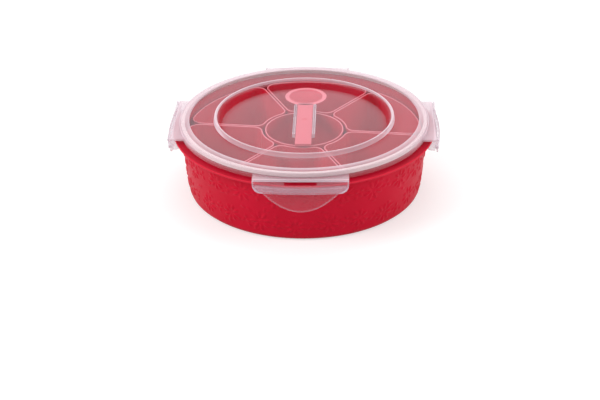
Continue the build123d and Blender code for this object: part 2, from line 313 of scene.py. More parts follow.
def slab(outer: Array, inner: Array, haze: Share = 1.0) -> Patch:
    """Closed sheet between two nets of the same shape.

    The rows run over the outer net forwards and back over the inner one, which closes the top and the foot;
    two more columns, drawn together on the middle of the wall, close the ends.

    Args:
        outer: points, shape (rows, columns, 3).
        inner: points, the same shape.
        haze: share of haze for each point, row or column, or one number.

    Returns:
        The closed patch.
    """
    loop = np.concatenate([outer, inner[::-1]])
    shares = np.broadcast_to(haze, outer.shape[:2])
    shares = np.concatenate([shares, shares[::-1]])
    middle = (outer + inner) / 2
    ends = [np.concatenate([middle[:, k], middle[::-1, k]])[:, None] for k in (0, -1)]
    net = np.concatenate([ends[0], loop, ends[1]], axis=1)
    shares = np.concatenate([shares[:, :1], shares, shares[:, -1:]], axis=1)
    return Patch.grid(net, wrap_rows=True, haze=shares)


class Nodes:
    """Short hand for the node tree of a material or a world."""

    MIX_SHARE, MIX_FIRST, MIX_SECOND, MIX_RESULT = 0, 6, 7, 2

    def __init__(self, owner: Material | bpy.types.World) -> None:
        """Empties the owner's node tree.

        Args:
            owner: material or world.
        """
        owner.use_nodes = True
        self.owner = owner
        self.tree = owner.node_tree
        self.tree.nodes.clear()

    def add(self, kind: str, settings: dict | None = None, **inputs: object) -> bpy.types.Node:
        """New node with its settings and inputs.

        Args:
            kind: node type without its ShaderNode prefix.
            settings: node properties by name.
            **inputs: value or output socket by input name, with _ for a space.

        Returns:
            The node.
        """
        node = self.tree.nodes.new("ShaderNode" + kind)
        for key, value in (settings or {}).items():
            setattr(node, key, value)
        for key, value in inputs.items():
            self.feed(node, key.replace("_", " "), value)
        return node

    def feed(self, node: bpy.types.Node, name: str | int, value: object) -> None:
        """Links or sets one input of a node.

        Args:
            node: the node.
            name: the input's name or number.
            value: a value or an output socket.
        """
        socket = node.inputs[name]
        if isinstance(value, Socket):
            self.tree.links.new(value, socket)
        elif socket.type == "RGBA":
            socket.default_value = (*value, 1.0)
        else:
            socket.default_value = value

    def calc(self, operation: str, first: object, second: object, clamp: bool = False) -> Socket:
        """One step of arithmetic.

        Args:
            operation: the Math node's operation.
            first: value or socket.
            second: value or socket.
            clamp: keeps the result between 0 and 1.

        Returns:
            The result's socket.
        """
        node = self.add("Math", {"operation": operation, "use_clamp": clamp})
        self.feed(node, 0, first)
        self.feed(node, 1, second)
        return node.outputs[0]

    def noise(self, scale: float, detail: float = 3.0) -> Socket:
        """Even noise over the object, in features per metre."""
        where = self.add("TexCoord").outputs["Object"]
        return self.add("TexNoise", Vector=where, Scale=scale, Detail=detail, Roughness=0.5).outputs[0]

    def spread(self, value: Socket, low: float, high: float) -> Socket:
        """Noise of about 0.3 to 0.7 spread over low to high."""
        node = self.add("MapRange", Value=value, From_Min=0.3, From_Max=0.7, To_Min=low, To_Max=high)
        return node.outputs[0]

    def blend(self, share: Socket, first: Colour | Socket, second: Colour) -> Socket:
        """Mix of two colours: first (1 - share) + second share.

        Args:
            share: socket of the share.
            first: colour or socket.
            second: colour.

        Returns:
            The result's socket.
        """
        node = self.add("Mix", {"data_type": "RGBA"})
        for place, value in ((self.MIX_SHARE, share), (self.MIX_FIRST, first), (self.MIX_SECOND, second)):
            self.feed(node, place, value)
        return node.outputs[self.MIX_RESULT]

    def haze(self) -> Socket:
        """The surface's haze attribute, which on opaque plastic sets painted highlight and painted shade."""
        node = self.add("Attribute", {"attribute_type": "GEOMETRY", "attribute_name": "haze"})
        return node.outputs["Fac"]

    def grain(self, scale: float, strength: float) -> Socket:
        """Fine moulded grain as a bumped normal."""
        height = self.noise(scale, detail=2.0)
        return self.add("Bump", Height=height, Distance=GRAIN_DEPTH_M, Strength=strength).outputs[0]

    def done(self, surface: Socket, output: str = "OutputMaterial") -> bpy.types.ID:
        """Links the surface to the output and gives the owner back."""
        self.add(output, Surface=surface)
        return self.owner


@dataclass(frozen=True)
class MouldedPlastic:
    """Opaque moulded plastic: faint clouds in the colour, fine grain, a soft gloss, and painted highlight and
    painted shade.
    """

    name: str
    colour: Colour
    cloud: Colour
    edge: Colour
    roughness: Pair = (0.34, 0.44)
    gloss: float = 0.5
    skin: float = 0.0
    skin_depth_m: Colour = (0.004, 0.001, 0.001)
    cloud_scale: float = 38.0
    rough_scale: float = 220.0
    grain_scale: float = 1400.0
    grain_strength: float = 0.25

    def material(self) -> Material:
        """Builds the material.

        Where the haze attribute goes from 1 to 2 the colour goes over to the edge colour, a painted
        highlight;
        below 1 it scales the colour down, a painted shade.

        Returns:
            The material.
        """
        nodes = Nodes(bpy.data.materials.new(self.name))
        clouds = nodes.spread(nodes.noise(self.cloud_scale), 0.0, 1.0)
        colour = nodes.blend(clouds, self.colour, self.cloud)
        # Painted highlight: haze from 1 to 2 blends the colour toward the edge colour.
        colour = nodes.blend(nodes.calc("SUBTRACT", nodes.haze(), 1.0, clamp=True), colour, self.edge)
        # Painted shade: haze below 1 darkens the colour.
        painted_shade = nodes.calc("MINIMUM", nodes.haze(), 1.0)
        painted_shade_colour = nodes.add("VectorMath", {"operation": "SCALE"}, Vector=colour, Scale=painted_shade)
        shader = nodes.add(
            "BsdfPrincipled",
            Base_Color=painted_shade_colour.outputs[0],
            Roughness=nodes.spread(nodes.noise(self.rough_scale), *self.roughness),
            Specular_IOR_Level=self.gloss,
            Subsurface_Weight=self.skin,
            Subsurface_Radius=self.skin_depth_m,
            Subsurface_Scale=1.0,
            Normal=nodes.grain(self.grain_scale, self.grain_strength),
        )
        return nodes.done(shader.outputs[0])


@dataclass(frozen=True)
class ClearPlastic:
    """Milky clear plastic: a thin haze face on, denser where the surface turns away, with a clean gloss."""

    name: str
    colour: Colour
    cloud: Colour
    face: float
    edge: float = 0.75
    turn: float = 3.0
    roughness: Pair = (0.10, 0.18)
    gloss: float = 0.2
    wave: float = 0.05
    cloud_scale: float = 30.0
    rough_scale: float = 150.0
    wave_scale: float = 260.0

    def material(self) -> Material:
        """Builds the material.

        Its opacity is (face + (edge - face) w^turn) times the haze attribute, with w from 0 where the surface
        faces the eye to 1 where it is seen edge on.

        Returns:
            The material.
        """
        nodes = Nodes(bpy.data.materials.new(self.name))
        away = nodes.add("LayerWeight", Blend=0.5).outputs["Facing"]
        away = nodes.calc("POWER", away, self.turn)
        dense = nodes.add("MapRange", Value=away, To_Min=self.face, To_Max=self.edge).outputs[0]
        clouds = nodes.spread(nodes.noise(self.cloud_scale), 0.0, 1.0)
        shader = nodes.add(
            "BsdfPrincipled",
            Base_Color=nodes.blend(clouds, self.colour, self.cloud),
            Roughness=nodes.spread(nodes.noise(self.rough_scale), *self.roughness),
            Alpha=nodes.calc("MULTIPLY", dense, nodes.haze(), clamp=True),
            Specular_IOR_Level=self.gloss,
            Normal=nodes.grain(self.wave_scale, self.wave),
        )
        return nodes.done(shader.outputs[0])


@dataclass(frozen=True)
class StudioPaper:
    """Plain pale paper that keeps the object's shadow and glows a little to the camera and in gloss."""

    name: str = "studio_paper"
    colour: Colour = (0.6, 0.6, 0.6)
    glow: float = 0.5
    roughness: Pair = (0.85, 0.95)
    rough_scale: float = 20.0

    def material(self) -> Material:
        """Builds the material.

        Returns:
            The material.
        """
        nodes = Nodes(bpy.data.materials.new(self.name))
        rough = nodes.spread(nodes.noise(self.rough_scale), *self.roughness)
        paper = nodes.add("BsdfPrincipled", Base_Color=self.colour, Roughness=rough, Specular_IOR_Level=0.0)
        rays = nodes.add("LightPath").outputs
        seen = nodes.calc("MAXIMUM", rays["Is Camera Ray"], rays["Is Glossy Ray"])
        light = nodes.add("Emission", Color=WHITE, Strength=nodes.calc("MULTIPLY", seen, self.glow))
        both = nodes.add("AddShader")
        nodes.feed(both, 0, paper.outputs[0])
        nodes.feed(both, 1, light.outputs[0])
        return nodes.done(both.outputs[0])


@dataclass(frozen=True)
class Finishes:
    """Every finish of the box."""

    # The third colour of each moulded finish is its painted highlight colour.
    bowl: MouldedPlastic = MouldedPlastic(
        "bowl_red", linear(214, 15, 50), linear(206, 12, 45), linear(238, 60, 80),
        roughness=(0.42, 0.5), gloss=0.12, skin=0.03,
    )
    cup: MouldedPlastic = MouldedPlastic(
        "cup_red", linear(222, 28, 62), linear(214, 24, 56), linear(246, 136, 150),
        roughness=(0.34, 0.42), gloss=0.25,
    )
    spoon: MouldedPlastic = MouldedPlastic(
        "spoon_red", linear(214, 66, 84), linear(208, 60, 79), linear(248, 138, 152),
        roughness=(0.3, 0.36), gloss=0.3,
    )
    seal: MouldedPlastic = MouldedPlastic(
        "seal_white", linear(252, 236, 235), linear(247, 230, 230), linear(252, 248, 247),
        roughness=(0.5, 0.6),
    )
    lid: ClearPlastic = ClearPlastic(
        "lid_clear", linear(240, 218, 227), linear(235, 212, 222), face=0.05, edge=0.7, turn=4.0
    )
    flap: ClearPlastic = ClearPlastic(
        "flap_clear", linear(236, 216, 230), linear(231, 210, 225), face=0.12, wave=0.0
    )


@dataclass(frozen=True)
class Burst:
    """Leaves that radiate from one middle, in millimetres; rise is their share of the relief's height."""

    count: int
    inner: float
    outer: Pair
    width: float
    rise: float


@dataclass
class Relief:
    """Embossed flowers and leaves, all over a tapered wall.

    Sizes are in millimetres on the unrolled wall: s runs round it and z up it.
    """

    round_length: float
    low: float
    high: float
    height: float = 0.72
    across: int = 23
    rows: int = 2
    shift: float = 0.1
    flower: Burst = Burst(8, 2.6, (9.0, 10.5), 1.75, 1.0)
    sprig: Burst = Burst(3, 0.6, (5.0, 6.4), 1.7, 0.8)
    sprig_shift: float = 2.5
    leaves: int = 5
    leaf_spread: Pair = (0.5, 0.55)
    leaf_length: Pair = (2.0, 3.4)
    leaf_width: float = 1.5
    leaf_rise: float = 0.7
    fade: float = 2.0
    seed: int = 5

    def heights(self, s: Array, z: Array) -> Array:
        """Relief over the wall: the highest of all petals and leaves, faded out at both edges.

        Two rows of flowers stand in a staggered grid, with sprigs and single leaves between them.

        Args:
            s: distances round the wall, one per column.
            z: heights, one per row.

        Returns:
            Heights in millimetres, shape (rows, columns).
        """
        rng = np.random.default_rng(self.seed)
        out = np.zeros((len(z), len(s)))
        step = self.round_length / self.across
        gap = (self.high - self.low) / self.rows

        def stamp(at: Pair, turn: float, length: float, width: float, rise: float) -> None:
            """Adds one leaf within the window that it reaches.

            With x along it and y across it, its edge lies at |y| = 1 - x^2. With e = 1.5 (1 - |y| /
            (1 - x^2)), at most 1, its height is e^2 (3 - 2 e) (1 - x^4), which leaves no crease.

            Args:
                at: its middle.
                turn: its angle in radians.
                length: half its length.
                width: half its width.
                rise: its height as a share.
            """
            ds = (s - at[0] + self.round_length / 2) % self.round_length - self.round_length / 2
            dz = z - at[1]
            near, high = np.abs(ds) < length, np.abs(dz) < length
            ds, dz = ds[near], dz[high][:, None]
            x = (ds * math.cos(turn) + dz * math.sin(turn)) / length
            y = (dz * math.cos(turn) - ds * math.sin(turn)) / width
            e = np.clip(1.5 * (1 - np.abs(y) / np.clip(1 - x**2, 1e-6, None)), 0, 1)
            leaf = np.where(np.abs(x) < 1, e**2 * (3 - 2 * e) * (1 - x**4), 0.0)
            window = np.ix_(high, near)
            out[window] = np.maximum(out[window], rise * leaf)

        def burst(at: Pair, kind: Burst) -> None:
            """Adds leaves that radiate from a middle, as long as drawn and turned together.

            Args:
                at: the middle.
                kind: their number and sizes.
            """
            outer, turn = rng.uniform(*kind.outer), rng.uniform(0, math.pi)
            away = (kind.inner + outer) / 2
            for angle in turn + turns(kind.count):
                middle = (at[0] + math.cos(angle) * away, at[1] + math.sin(angle) * away)
                stamp(middle, angle, (outer - kind.inner) / 2, kind.width, kind.rise)

        for row in range(self.rows):
            for k in range(self.across):
                shift = rng.uniform(-self.shift, self.shift, 2)
                at = ((k + 0.5 * (row % 2) + shift[0]) * step, self.low + gap * (row + 0.5 + shift[1]))
                burst(at, self.flower)
                spot = (at[0] + step / 2, at[1] + rng.uniform(-self.sprig_shift, self.sprig_shift))
                burst(spot, self.sprig)
                for _ in range(self.leaves):
                    ds, dz = (rng.uniform(-reach, reach) for reach in self.leaf_spread)
                    spot = (at[0] + step * ds, at[1] + gap * dz)
                    turn, length = rng.uniform(0, math.pi), rng.uniform(*self.leaf_length)
                    stamp(spot, turn, length, self.leaf_width, self.leaf_rise)
        fade = np.clip((z - self.low) / self.fade, 0, 1) * np.clip((self.high - z) / self.fade, 0, 1)
        return out * fade[:, None] * self.height


@dataclass
class Bowl:
    """Red bowl: foot, embossed wall, lock flange, neck and sealing tongue."""

    foot_r: float = 107.0
    foot_round: float = 5.0
    wall_top_r: float = 113.0
    wall_t: float = 3.0
    floor_t: float = 2.2
    floor_round: float = 3.5
    flange_r: float = 119.5
    flange_t: float = 2.0
    flange_top_z: float = 59.8
    flange_round: float = 0.7
    neck_r: float = 112.0
    neck_top_z: float = 64.2
    neck_round: float = 0.4
    inner_round: float = 0.5
    tongue_top_z: float = 66.7
    tongue_t: float = 1.3
    tongue_round: float = 0.3
    relief_margins: Pair = (1.0, 1.5)
    # Painted highlight on the flange's rounded outer edge, and painted shade on the neck and the flange top
    # under the lid's rim.
    flange_highlight_reach: float = 0.9
    flange_painted_highlight: float = 1.35
    neck_painted_shade: float = 0.75
    sharp_degrees: float = 50.0
    columns: int = 800
    wall_rows: int = 84
    chords: int = 3

    def profile(self) -> tuple[Array, slice]:
        """Profile from the middle of the underside out, up and back to the middle of the floor.

        Returns:
            The points, and where the embossed wall lies among them.
        """
        low = self.flange_top_z - self.flange_t
        mouth = self.wall_top_r - self.wall_t
        foot_in = self.foot_r - self.wall_t + (self.wall_top_r - self.foot_r) * self.floor_t / low
        tongue = mouth + self.tongue_t
        corners = [
            (0.0, 0.0), (self.foot_r, 0.0), (self.wall_top_r, low), (self.flange_r, low),
            (self.flange_r, self.flange_top_z), (self.neck_r, self.flange_top_z),
            (self.neck_r, self.neck_top_z), (tongue, self.neck_top_z), (tongue, self.tongue_top_z),
            (mouth, self.tongue_top_z), (mouth, low), (foot_in, self.floor_t), (0.0, self.floor_t),
        ]
        rounds = {
            1: self.foot_round, 2: self.inner_round, 3: self.flange_round, 4: self.flange_round,
            5: self.inner_round, 6: self.neck_round, 8: self.tongue_round, 9: self.tongue_round,
            11: self.floor_round,
        }
        points = rounded(corners, rounds, closed=False, chords=self.chords)
        foot = self.chords + 1
        wall = np.linspace(points[foot], points[foot + 1], self.wall_rows)
        return np.concatenate([points[:foot], wall, points[foot + 2:]]), slice(foot, foot + self.wall_rows)

    def make(self, finish: MouldedPlastic) -> Piece:
        """Builds the bowl and puts it in the place of its solid.

        The wall's radius at angle t and height z grows by the relief at s = t times the mean radius.

        Args:
            finish: its plastic.

        Returns:
            The piece.
        """
        profile, wall = self.profile()
        radius, height = profile.T
        mean_r = (self.foot_r + self.wall_top_r) / 2
        low = height[wall][0] - self.relief_margins[0]
        high = self.flange_top_z - self.flange_t - self.relief_margins[1]
        lift = np.zeros((len(profile), self.columns))
        relief = Relief(2 * math.pi * mean_r, low, high)
        lift[wall] = relief.heights(turns(self.columns) * mean_r, height[wall])
        # Painted highlight on the flange's outer edge, painted shade on the neck and the flange top.
        edge = (radius > self.flange_r - self.flange_highlight_reach) & (height < self.flange_top_z)
        neck = (radius > self.neck_r - 1.0) & (height >= self.flange_top_z) & (height <= self.neck_top_z)
        light = np.select([edge, neck], [self.flange_painted_highlight, self.neck_painted_shade], 1.0)
        skin = revolved(profile, self.columns, haze=light, lift=lift)
        piece = build("bowl", [skin], finish.material(), self.sharp_degrees)
        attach(piece, "box")
        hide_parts("box_body")
        return piece


@dataclass
class Cups:
    """Centre cup and six wedge cups."""

    top_z: float = 56.5
    foot_z: float = 2.25
    wall_t: float = 1.2
    floor_t: float = 1.4
    foot_round: float = 3.0
    centre_r: float = 36.0
    centre_foot_r: float = 33.6
    count: int = 6
    in_r: float = 38.4
    out_r: float = 107.4
    in_foot_r: float = 39.6
    out_foot_r: float = 101.6
    side_gap: float = 0.8
    side_foot_gap: float = 1.9
    out_round: float = 11.0
    in_round: float = 9.0
    turn: float = -6.2
    lip: float = 0.35
    # Painted highlight: the lip takes the lighter edge colour.
    lip_painted_highlight: float = 2.0
    floor_flat: float = 0.5
    corner_chords: int = 14
    side_points: int = 10
    wall_chords: int = 24
    back_chords: int = 12
    centre_columns: int = 160

    def outline(self, z: float, inset: float) -> Array:
        """Plan outline of a wedge cup centred on +X, at a height and moved in by an inset.

        A corner's arc of radius q touches the side line, at the distance g from the line of the half angle
        h through the axis, and the wall's circle of radius R. Its centre is at the distance g + q from that
        line and R - q (outer) or R + q (inner) from the axis.

        Args:
            z: height.
            inset: distance inward from the cup's outer face.

        Returns:
            Points, shape (n, 3), in order round the cup.
        """
        part = (z - self.foot_z) / (self.top_z - self.foot_z)
        in_r = self.in_foot_r + (self.in_r - self.in_foot_r) * part + inset
        out_r = self.out_foot_r + (self.out_r - self.out_foot_r) * part - inset
        gap = self.side_foot_gap + (self.side_gap - self.side_foot_gap) * part + inset
        half = math.pi / self.count
        cos, sin = math.cos(half), math.sin(half)

        def corner(centre_r: float, radius: float) -> tuple[Array, float]:
            """Arc of one corner.

            Args:
                centre_r: its centre's distance from the axis.
                radius: its radius.

            Returns:
                Its centre, and the angle of that centre round the axis.
            """
            off = gap + radius
            along = math.sqrt(centre_r**2 - off**2)
            centre = np.array([along * cos + off * sin, along * sin - off * cos])
            return centre, math.atan2(centre[1], centre[0])

        q_out, q_in = self.out_round - inset, self.in_round - inset
        c_out, end_out = corner(out_r - q_out, q_out)
        c_in, end_in = corner(in_r + q_in, q_in)
        side = half + math.pi / 2
        outer = arc(c_out, q_out, end_out, side, self.corner_chords)
        inner = arc(c_in, q_in, side, end_in + math.pi, self.corner_chords)
        upper = np.concatenate([outer, np.linspace(outer[-1], inner[0], self.side_points)[1:-1], inner])
        wall = arc((0.0, 0.0), out_r, -end_out, end_out, self.wall_chords)[1:-1]
        back = arc((0.0, 0.0), in_r, end_in, -end_in, self.back_chords)[1:-1]
        flat = np.concatenate([wall, upper, back, upper[::-1] * np.array([1.0, -1.0])])
        return net_of(flat[:, 0], flat[:, 1], z)

    def wall_steps(self) -> Array:
        """Inset and height of each ring of a cup, from the foot up outside, over the lip and down inside.

        The corners at low keep the lip's painted highlight from spreading down the wall.

        Returns:
            Insets and heights, shape (n, 2).
        """
        q, p = self.foot_round, self.foot_round - self.wall_t
        floor = self.foot_z + self.floor_t
        low = self.top_z - 2 * self.lip
        flat = self.floor_flat
        corners = [
            (q + flat, self.foot_z), (0.0, self.foot_z), (0.0, low), (0.0, self.top_z),
            (self.wall_t, self.top_z), (self.wall_t, low), (self.wall_t, floor),
            (self.wall_t + p + flat, floor),
        ]
        return rounded(corners, {1: q, 3: self.lip, 4: self.lip, 6: p}, closed=False)

    def light(self, z: Array) -> Array:
        """Share of haze by height: 1, and more on the lip, which gets the painted highlight."""
        return np.where(z > self.top_z - self.lip - 0.05, self.lip_painted_highlight, 1.0)

    def wedge(self, index: int) -> Patch:
        """One wedge cup: its outline at every inset and height of the wall's steps.

        Args:
            index: its number, counted from the cup nearest +X.

        Returns:
            The closed patch.
        """
        steps = self.wall_steps()
        patch = capped(np.stack([self.outline(z, inset) for inset, z in steps]), self.light(steps[:, 1]))
        return patch.turned(self.turn + 360.0 / self.count * (index + 0.5))

    def centre(self) -> Patch:
        """The round cup.

        Its ring at z has the radius foot_r + (r - foot_r)(z - foot)/(top - foot) - inset.

        Returns:
            The closed patch.
        """
        inset, z = self.wall_steps().T
        slope = (self.centre_r - self.centre_foot_r) / (self.top_z - self.foot_z)
        rings = net_of(self.centre_foot_r + slope * (z - self.foot_z) - inset, z)
        profile = np.concatenate([[(0.0, self.foot_z)], rings, [(0.0, self.foot_z + self.floor_t)]])
        return revolved(profile, self.centre_columns, haze=self.light(profile[:, 1]))

    def make(self, finish: MouldedPlastic) -> list[Piece]:
        """Builds the seven cups and puts them in the places of their solids.

        Args:
            finish: their plastic.

        Returns:
            The pieces.
        """
        material = finish.material()
        names = ["centre_cup"] + [f"wedge_cup_{k + 1}" for k in range(self.count)]
        patches = [self.centre()] + [self.wedge(k) for k in range(self.count)]
        pieces = []
        for name, patch in zip(names, patches):
            piece = build(name + "_skin", [patch], material)
            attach(piece, name)
            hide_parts(name)
            pieces.append(piece)
        return pieces


@dataclass
class Spoon:
    """Spoon with a shallow round bowl and a flat straight handle."""

    top_z: float = 61.1
    width: float = 14.8
    thick: float = 2.2
    near_y: float = -41.0
    round_r: float = 19.8
    round_y: float = 61.8
    depth: float = 3.7
    wall_t: float = 1.3
    lap: float = 2.6
    gate_y: float = 10.4
    gate_r: float = 1.8
    gate_t: float = 0.45
    gate_sink: float = 0.25
    corner: float = 1.2
    edge_round: float = 0.5
    # Painted highlight on the bowl's rim, and the whole handle painted lighter toward the edge colour.
    rim_round: float = 0.25
    rim_painted_highlight: float = 2.0
    handle_painted_light: float = 1.55
    cap_rows: int = 14
    cap_columns: int = 120
    corner_rows: int = 5
    handle_rows: int = 12
    gate_chords: int = 12
    gate_columns: int = 40

    def cap(self) -> Patch:
        """Shell of two spheres: z = centre - sqrt(R^2 - r^2), with a small round on the rim.

        Returns:
            The closed patch.
        """
        big = (self.round_r**2 + self.depth**2) / (2 * self.depth)
        small = big - self.wall_t
        centre = self.top_z - self.depth + big
        rim_in = math.sqrt(small**2 - (centre - self.top_z) ** 2)
        q, rows = self.rim_round, self.cap_rows
        r_out = np.linspace(0.0, self.round_r - q, rows)
        r_in = np.linspace(rim_in - q, 0.0, rows)
        under = net_of(r_out, centre - np.sqrt(big**2 - r_out**2))
        over = net_of(r_in, centre - np.sqrt(small**2 - r_in**2))
        lip = [(self.round_r, self.top_z - q), (self.round_r - q, self.top_z), (rim_in + q, self.top_z)]
        # Painted highlight: the rim's lip takes the edge colour.
        light = np.concatenate([np.ones(rows), np.full(len(lip), self.rim_painted_highlight), np.ones(rows)])
        patch = revolved(np.concatenate([under, lip, over]), self.cap_columns, haze=light)
        patch.points[:, 1] += self.round_y
        return patch

    def handle(self) -> Patch:
        """Flat bar of one section, whose near end narrows along a quarter circle to round its corners.

        Returns:
            The closed patch.
        """
        half = self.width / 2
        ring = rounded_box(half, self.top_z - self.thick, self.top_z, self.edge_round, chords=4)
        turn = np.linspace(0, math.pi / 2, self.corner_rows)
        near = self.near_y + self.corner * (1 - np.cos(turn))
        straight = np.linspace(near[-1] + 1, self.round_y - self.round_r + self.lap, self.handle_rows)
        along = np.concatenate([near, straight])
        inset = np.concatenate([self.corner * (1 - np.sin(turn)), np.zeros(len(straight))])
        narrow = (half - inset) / half
        net = net_of(ring[:, 0] * narrow[:, None], along[:, None], ring[:, 1])
        # The whole handle is painted lighter toward the edge colour.
        return capped(net, self.handle_painted_light)

    def gate(self) -> Patch:
        """Ring of the moulding mark: a low torus, (R + q cos a, z + q sin a) turned about its middle.

        Returns:
            The closed patch.
        """
        a, q = turns(self.gate_chords), self.gate_t
        profile = net_of(self.gate_r + q * np.cos(a), self.top_z - self.gate_sink + q * np.sin(a))
        patch = revolved(profile, self.gate_columns, ring=True)
        patch.points[:, 1] += self.gate_y
        return patch

    def make(self, finish: MouldedPlastic) -> Piece:
        """Builds the spoon and puts it in the place of its solid.

        Args:
            finish: its plastic.

        Returns:
            The piece.
        """
        piece = build("spoon_skin", [self.cap(), self.handle(), self.gate()], finish.material())
        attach(piece, "spoon")
        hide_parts("spoon")
        return piece


@dataclass
class Lid:
    """Clear lid: rim, ring panel, bead, recess, four ledges, two rails, and the seal in its rim."""

    rim_r: float = 113.8
    rim_in_r: float = 104.8
    rim_top_z: float = 70.0
    rim_round: float = 2.4
    rim_in_round: float = 0.7
    rim_step_t: float = 1.5
    skirt_in_r: float = 112.5
    skirt_z: float = 61.2
    plug_t: float = 1.2
    plug_z: float = 64.0
    channel_in_r: float = 108.8
    roof_z: float = 68.6
    panel_z: float = 67.8
    panel_t: float = 1.5
    panel_round: float = 0.4
    bead_out_r: float = 82.6
    bead_crest_out_r: float = 81.9
    bead_crest_in_r: float = 79.9
    bead_z: float = 71.9
    bead_round: float = 0.9
    bead_under_r: float = 83.6
    recess_top_r: float = 79.4
    recess_top_z: float = 70.2
    recess_r: float = 75.5
    recess_z: float = 63.0
    recess_t: float = 1.5
    recess_round: float = 0.8
    recess_under_round: float = 0.6
    end_round: float = 0.3
    mouth_r: float = 110.0
    tongue_t: float = 1.3
    tongue_top_z: float = 66.7
    seal_play: float = 0.05
    seal_leg_z: float = 64.8
    ledge_end_u: float = 118.7
    ledge_w: float = 82.0
    ledge_top_z: float = 65.4
    ledge_t: float = 1.8
    ledge_lap: float = 0.04
    rail_in_x: float = 7.8
    rail_out_x: float = 10.3
    rail_lip_x: float = 5.9
    rail_lip_t: float = 1.0
    rail_low_z: float = 57.4
    rail_near_y: float = -22.5
    rail_far_y: float = 42.5
    rail_nose: float = 2.0
    rail_edge: float = 0.5
    # Haze shares well above 1 paint milky white highlight lines on the bead, its flank, the rim's shoulders,
    # the ledges' hinge ends and the rails.
    bead_painted_highlight: float = 7.0
    flank_painted_highlight: float = 9.5
    recess_haze: float = 0.2
    rim_in_painted_highlight: float = 5.5
    rim_out_painted_highlight: float = 3.4
    skirt_haze: Pair = (1.0, 4.0)
    ledge_haze: float = 4.4
    ledge_near_haze: float = 1.8
    ledge_rear_share: float = 0.15
    ledge_end_painted_highlight: float = 6.0
    rail_painted_highlight: Pair = (14.0, 3.0)
    longest: float = 6.0
    columns: int = 400
    ledge_rows: int = 9
    ledge_columns: int = 61

    def shell(self) -> Patch:
        """Round part of the lid.

        Its profile runs from the middle of the recess out, under the rim and back underneath.

        Returns:
            The closed patch.
        """
        low = self.panel_z - self.panel_t
        floor = self.recess_z - self.recess_t
        plug_r = self.channel_in_r - self.plug_t
        step_r = self.rim_in_r + self.rim_step_t
        corners = [
            (0.0, self.recess_z), (self.recess_r, self.recess_z), (self.recess_top_r, self.recess_top_z),
            (self.bead_crest_in_r, self.bead_z), (self.bead_crest_out_r, self.bead_z),
            (self.bead_out_r, self.panel_z), (self.rim_in_r, self.panel_z), (self.rim_in_r, self.rim_top_z),
            (self.rim_r, self.rim_top_z), (self.rim_r, self.skirt_z), (self.skirt_in_r, self.skirt_z),
            (self.skirt_in_r, self.roof_z), (self.channel_in_r, self.roof_z),
            (self.channel_in_r, self.plug_z), (plug_r, self.plug_z), (plug_r, self.roof_z),
            (step_r, self.roof_z), (step_r, low), (self.bead_under_r, low),
            (self.recess_top_r + self.recess_t, low), (self.recess_r + self.recess_t, floor), (0.0, floor),
        ]
        rounds = {
            1: self.recess_round, 3: self.bead_round, 4: self.bead_round, 5: self.panel_round,
            6: self.panel_round, 7: self.rim_in_round, 8: self.rim_round, 20: self.recess_under_round,
        } | dict.fromkeys((9, 10, 13, 14), self.end_round)
        profile = spaced(rounded(corners, rounds, closed=False), self.longest)
        return revolved(profile, self.columns, haze=self.haze(profile))

    def haze(self, profile: Array) -> Array:
        """Share of haze along the profile.

        The recess wall is clear, the bead, its outer flank and the rim's shoulders are painted milky white as
        highlights, and the skirt clears toward its foot.

        Args:
            profile: radii and heights, shape (n, 2).

        Returns:
            Shares, shape (n,).
        """
        radius, height = profile.T
        panel_end = self.panel_z + 0.08
        bead = (radius > self.recess_top_r) & (radius < self.bead_out_r) & (height > self.recess_top_z)
        flank = (radius > self.bead_crest_out_r) & (radius < self.bead_under_r) & (height > panel_end)
        wall = (radius > self.recess_r - 0.2) & (radius < self.bead_out_r) & (height < self.recess_top_z)
        inside = (radius > self.rim_in_r - 0.1) & (radius < self.channel_in_r) & (height > self.roof_z + 0.3)
        outside = (radius > self.skirt_in_r - 1.5) & (height > self.roof_z - 1.0)
        skirt = (radius > self.skirt_in_r - 0.1) & (height <= self.roof_z - 1.0)
        fall = np.interp(height, [self.skirt_z, self.roof_z], self.skirt_haze)
        milky = [self.bead_painted_highlight, self.flank_painted_highlight, self.recess_haze, self.rim_in_painted_highlight, self.rim_out_painted_highlight]
        return np.select([bead, flank, wall, inside, outside, skirt], milky + [fall], 1.0)

    def seal(self) -> Patch:
        """Ring of inverted U section that fills the rim's channel down to the bowl's tongue.

        Returns:
            The closed patch.
        """
        play = self.seal_play
        inner, outer = self.channel_in_r + play, self.skirt_in_r - play
        slot_in, slot_out = self.mouth_r - play, self.mouth_r + self.tongue_t + play
        roof, leg, top = self.roof_z - play, self.seal_leg_z, self.tongue_top_z + play
        corners = [
            (inner, leg), (slot_in, leg), (slot_in, top), (slot_out, top), (slot_out, leg), (outer, leg),
            (outer, roof), (inner, roof),
        ]
        rounds = {6: self.end_round, 7: self.end_round}
        return revolved(rounded(corners, rounds, closed=True), self.columns, ring=True)

    def ledge(self, side: Side) -> Patch:
        """Ledge between the rim's circle u = sqrt(R^2 - t^2) and the straight hinge line.

        Its haze grows from the rim to the hinge at the front and at the rear, which is also seen through; the
        hinge end is painted milky white as a highlight.

        Args:
            side: its side of the box.

        Returns:
            The closed patch.
        """
        across = np.linspace(-self.ledge_w / 2, self.ledge_w / 2, self.ledge_columns)
        start = np.sqrt((self.rim_r - self.ledge_lap) ** 2 - across**2)
        share = np.linspace(0, 1, self.ledge_rows)[:, None]
        u = start * (1 - share) + self.ledge_end_u * share
        near = self.ledge_near_haze if side in (Side.FRONT, Side.REAR) else self.ledge_haze
        # Painted highlight: the hinge end of each ledge is milky white.
        haze = np.where(share > 0.85, self.ledge_end_painted_highlight, near + (self.ledge_haze - near) * share)
        if side is Side.REAR:
            haze = haze * self.ledge_rear_share
        upper = net_of(u, across, self.ledge_top_z)
        lower = net_of(u, across, self.ledge_top_z - self.ledge_t)
        return slab(upper, lower, haze).turned(side.value)

